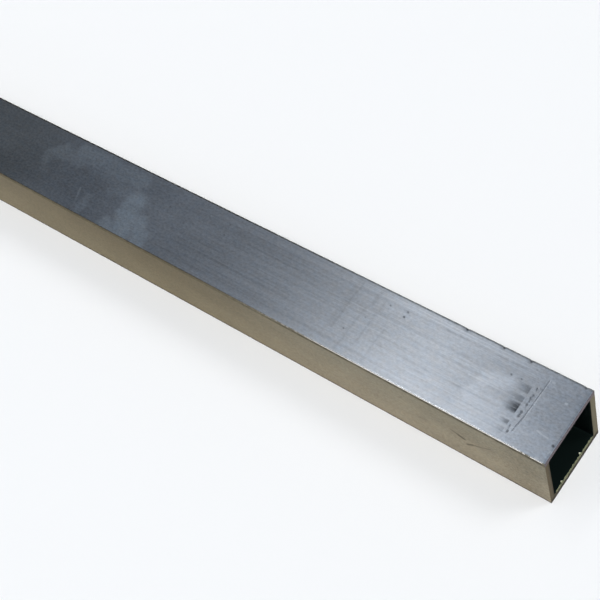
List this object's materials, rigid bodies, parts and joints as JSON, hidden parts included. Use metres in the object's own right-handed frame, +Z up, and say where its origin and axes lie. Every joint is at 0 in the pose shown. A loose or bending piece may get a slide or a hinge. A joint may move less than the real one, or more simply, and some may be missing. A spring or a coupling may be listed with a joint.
{
  "type": "square metal tube",
  "caption": "Length of square aluminium tube with a thin even wall, open right through and sawn square at both ends.",
  "frame": {"origin": "middle of the lower face, on the surface that the tube lies on", "axes": "+X along the tube, towards the open end that the picture shows; -Y the side face that the picture shows; +Z up"},
  "size_m": [0.3048, 0.019, 0.0191],
  "materials": {
    "mill_aluminium": "mill finish with fine lengthwise die lines and light handling marks"
  },
  "bodies": {
    "root": {"square_tube": "mill_aluminium"}
  },
  "joints": []
}
